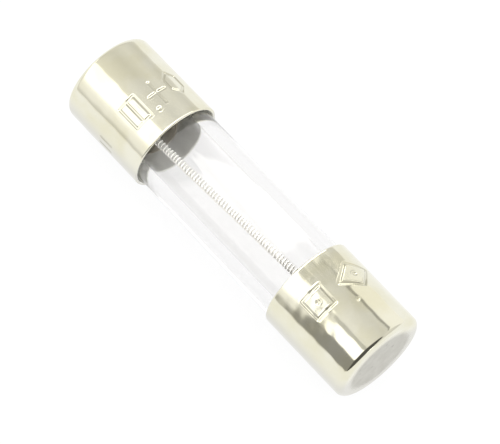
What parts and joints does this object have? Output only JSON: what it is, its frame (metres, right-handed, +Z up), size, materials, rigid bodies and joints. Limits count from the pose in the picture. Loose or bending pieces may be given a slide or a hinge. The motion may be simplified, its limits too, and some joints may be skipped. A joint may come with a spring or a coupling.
{
  "type": "cartridge fuse",
  "caption": "Cylindrical glass cartridge fuse: a wound fuse wire in a clear tube, closed by plated metal end caps that clip into a holder to protect a circuit.",
  "frame": {"origin": "centre of the fuse, on its axis midway between the end faces", "axes": "+X along the fuse's axis, out of the end face of end cap b; +Z up, square to the axis; the fuse lies along X as it does in its clips"},
  "size_m": [0.02, 0.005, 0.0051],
  "materials": {
    "glass": "clear, fire-polished ends",
    "cap_plating": "satin nickel plating on brass",
    "cement": "matt",
    "solder": "dull soft solder",
    "core_fibre": "matt fibre",
    "fuse_wire": "bright tinned wire"
  },
  "bodies": {
    "root": {"glass_tube": "glass", "end_cap_a": "cap_plating", "end_cap_b": "cap_plating", "cement_ring_a": "cement", "cement_ring_b": "cement", "solder_fill_a": "solder", "solder_fill_b": "solder", "element_core": "core_fibre", "element_wire": "fuse_wire"}
  },
  "joints": []
}
